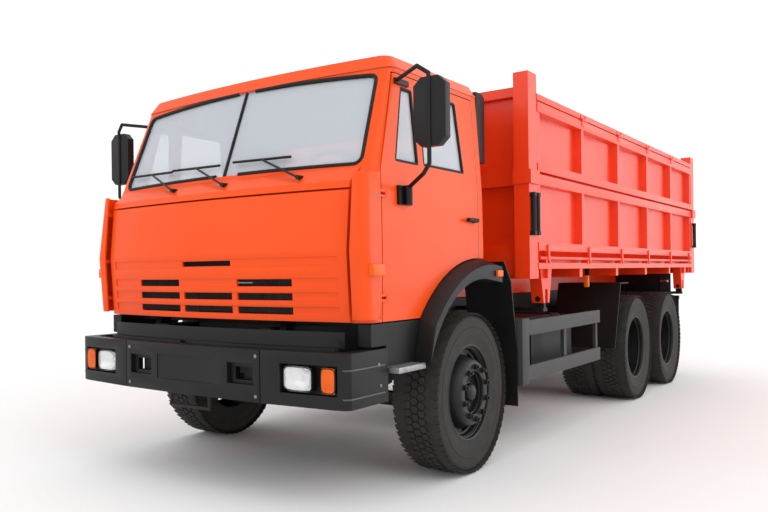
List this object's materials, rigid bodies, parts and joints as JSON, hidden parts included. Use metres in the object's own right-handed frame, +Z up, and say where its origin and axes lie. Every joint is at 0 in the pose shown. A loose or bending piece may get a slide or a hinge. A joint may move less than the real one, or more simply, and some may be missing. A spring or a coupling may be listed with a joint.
{
  "type": "dump truck",
  "caption": "Three-axle cab-over truck with a two-tier side-tipping steel body, tilting cab, hinged side boards and twin rear wheels.",
  "frame": {"origin": "middle of the footprint box, on the ground the tyres stand on", "axes": "+X to the truck's left, +Y to its rear, +Z up"},
  "size_m": [2.815, 7.827, 2.74],
  "materials": {
    "cab_paint": "gloss",
    "bed_paint": "gloss",
    "chassis_paint": "satin",
    "wheel_paint": "satin",
    "tyre_rubber": "matte",
    "black_plastic": "matte",
    "grille_paint": "gloss",
    "clear_glass": "gloss",
    "lamp_lens": "gloss",
    "amber_lens": "gloss",
    "seat_cloth": "matte",
    "trim_plastic": "matte",
    "bare_steel": "satin",
    "rod_chrome": "gloss",
    "engine_iron": "satin"
  },
  "bodies": {
    "chassis": {"frame": "chassis_paint", "subframe": "chassis_paint", "bumper": "black_plastic", "lamps": "lamp_lens", "front_axle": "chassis_paint", "leaf_springs": "chassis_paint", "rear_axles": "chassis_paint", "engine_block": "engine_iron", "tanks": "chassis_paint", "side_guards": "chassis_paint", "battery_box": "chassis_paint", "silencer": "bare_steel", "mudguards": "black_plastic", "rear_bar": "chassis_paint"},
    "cab": {"cab_shell": "cab_paint", "corner_deflectors": "cab_paint", "cab_glass": "clear_glass", "wheel_arches": "black_plastic", "cab_steps": "black_plastic", "marker_lamps": "amber_lens", "wipers": "black_plastic", "snorkel": "black_plastic", "seats": "seat_cloth", "dashboard": "trim_plastic", "steering_wheel": "trim_plastic"},
    "front_panel": {"front_panel": "grille_paint"},
    "bed": {"bed_floor": "bed_paint", "bed_front_wall": "bed_paint", "bed_rear_wall": "bed_paint", "bed_top_rails": "bed_paint", "board_struts": "chassis_paint"},
    "track_rod": {"track_rod": "bare_steel"},
    "door_left": {"door_left": "cab_paint", "door_glass_left": "clear_glass", "door_fittings_left": "black_plastic"},
    "knuckle_left": {"knuckle_left": "bare_steel"},
    "wheel_front_left": {"wheel_front_left": "wheel_paint", "tyre_front_left": "tyre_rubber"},
    "wheel_middle_left": {"wheel_middle_left": "wheel_paint", "tyre_middle_left": "tyre_rubber"},
    "wheel_rear_left": {"wheel_rear_left": "wheel_paint", "tyre_rear_left": "tyre_rubber"},
    "lower_board_left": {"lower_board_left": "bed_paint"},
    "upper_board_left": {"upper_board_left": "bed_paint"},
    "door_right": {"door_right": "cab_paint", "door_glass_right": "clear_glass", "door_fittings_right": "black_plastic"},
    "knuckle_right": {"knuckle_right": "bare_steel"},
    "wheel_front_right": {"wheel_front_right": "wheel_paint", "tyre_front_right": "tyre_rubber"},
    "wheel_middle_right": {"wheel_middle_right": "wheel_paint", "tyre_middle_right": "tyre_rubber"},
    "wheel_rear_right": {"wheel_rear_right": "wheel_paint", "tyre_rear_right": "tyre_rubber"},
    "lower_board_right": {"lower_board_right": "bed_paint"},
    "upper_board_right": {"upper_board_right": "bed_paint"},
    "cylinder_barrel": {"cylinder_barrel": "chassis_paint"},
    "cylinder_outer_tube": {"cylinder_outer_tube": "chassis_paint"},
    "cylinder_inner_tube": {"cylinder_inner_tube": "chassis_paint"},
    "cylinder_ram": {"cylinder_ram": "rod_chrome"}
  },
  "joints": [
    {"name": "cab_tilt", "type": "hinge", "parent": "chassis", "child": "cab", "pos_m": [0, -3.6435, 0.93], "axis": [1, 0, 0], "range_deg": [0, 42]},
    {"name": "front_panel_lift", "type": "hinge", "parent": "cab", "child": "front_panel", "pos_m": [0, -3.7005, 1.736], "axis": [-1, 0, 0], "range_deg": [0, 75]},
    {"name": "door_left_hinge", "type": "hinge", "parent": "cab", "child": "door_left", "pos_m": [1.1, -3.4335, 1.45], "axis": [0, 0, -1], "range_deg": [0, 70]},
    {"name": "door_right_hinge", "type": "hinge", "parent": "cab", "child": "door_right", "pos_m": [-1.1, -3.4335, 1.45], "axis": [0, 0, 1], "range_deg": [0, 70]},
    {"name": "steer_left", "type": "hinge", "parent": "chassis", "child": "knuckle_left", "pos_m": [0.85, -2.4835, 0.518], "axis": [0, 0, 1], "range_deg": [-38, 38]},
    {"name": "steer_right", "type": "hinge", "parent": "chassis", "child": "knuckle_right", "pos_m": [-0.85, -2.4835, 0.518], "axis": [0, 0, 1], "range_deg": [-38, 38]},
    {"name": "track_rod_end", "type": "hinge", "parent": "knuckle_left", "child": "track_rod", "pos_m": [0.85, -2.1835, 0.36], "axis": [0, 0, 1], "range_deg": [-38, 38]},
    {"name": "wheel_front_left_spin", "type": "hinge", "parent": "knuckle_left", "child": "wheel_front_left", "pos_m": [1.025, -2.4835, 0.518], "axis": [1, 0, 0], "continuous": true},
    {"name": "wheel_middle_left_spin", "type": "hinge", "parent": "chassis", "child": "wheel_middle_left", "pos_m": [0.945, 1.2065, 0.518], "axis": [1, 0, 0], "continuous": true},
    {"name": "wheel_rear_left_spin", "type": "hinge", "parent": "chassis", "child": "wheel_rear_left", "pos_m": [0.945, 2.5265, 0.518], "axis": [1, 0, 0], "continuous": true},
    {"name": "wheel_front_right_spin", "type": "hinge", "parent": "knuckle_right", "child": "wheel_front_right", "pos_m": [-1.025, -2.4835, 0.518], "axis": [1, 0, 0], "continuous": true},
    {"name": "wheel_middle_right_spin", "type": "hinge", "parent": "chassis", "child": "wheel_middle_right", "pos_m": [-0.945, 1.2065, 0.518], "axis": [1, 0, 0], "continuous": true},
    {"name": "wheel_rear_right_spin", "type": "hinge", "parent": "chassis", "child": "wheel_rear_right", "pos_m": [-0.945, 2.5265, 0.518], "axis": [1, 0, 0], "continuous": true},
    {"name": "bed_tip", "type": "hinge", "parent": "chassis", "child": "bed", "pos_m": [1.15, 1.1365, 1.08], "axis": [0, 1, 0], "range_deg": [0, 50]},
    {"name": "lower_board_left_hinge", "type": "hinge", "parent": "bed", "child": "lower_board_left", "pos_m": [1.245, 1.1115, 1.392], "axis": [0, 1, 0], "range_deg": [0, 125]},
    {"name": "lower_board_right_hinge", "type": "hinge", "parent": "bed", "child": "lower_board_right", "pos_m": [-1.245, 1.1115, 1.392], "axis": [0, -1, 0], "range_deg": [0, 125]},
    {"name": "upper_board_left_hinge", "type": "hinge", "parent": "bed", "child": "upper_board_left", "pos_m": [1.26, 1.1115, 2.549], "axis": [0, -1, 0], "range_deg": [0, 45]},
    {"name": "upper_board_right_hinge", "type": "hinge", "parent": "bed", "child": "upper_board_right", "pos_m": [-1.26, 1.1115, 2.549], "axis": [0, 1, 0], "range_deg": [0, 45]},
    {"name": "cylinder_swing", "type": "hinge", "parent": "chassis", "child": "cylinder_barrel", "pos_m": [0, 0.4365, 0.9], "axis": [0, 1, 0], "range_deg": [0, 26]},
    {"name": "cylinder_slide_1", "type": "slide", "parent": "cylinder_barrel", "child": "cylinder_outer_tube", "axis": [0, 0, 1], "range_m": [0, 0.33]},
    {"name": "cylinder_slide_2", "type": "slide", "parent": "cylinder_outer_tube", "child": "cylinder_inner_tube", "axis": [0, 0, 1], "range_m": [0, 0.33]},
    {"name": "cylinder_slide_3", "type": "slide", "parent": "cylinder_inner_tube", "child": "cylinder_ram", "axis": [0, 0, 1], "range_m": [0, 0.33]}
  ],
  "couplings": [
    {"joint": "steer_right", "follows": "steer_left", "ratio": 1},
    {"joint": "track_rod_end", "follows": "steer_left", "ratio": -1},
    {"joint": "cylinder_swing", "follows": "bed_tip", "ratio": 0.48},
    {"joint": "cylinder_slide_1", "follows": "bed_tip", "m_per_rad": 0.3603},
    {"joint": "cylinder_slide_2", "follows": "bed_tip", "m_per_rad": 0.3603},
    {"joint": "cylinder_slide_3", "follows": "bed_tip", "m_per_rad": 0.3603}
  ]
}
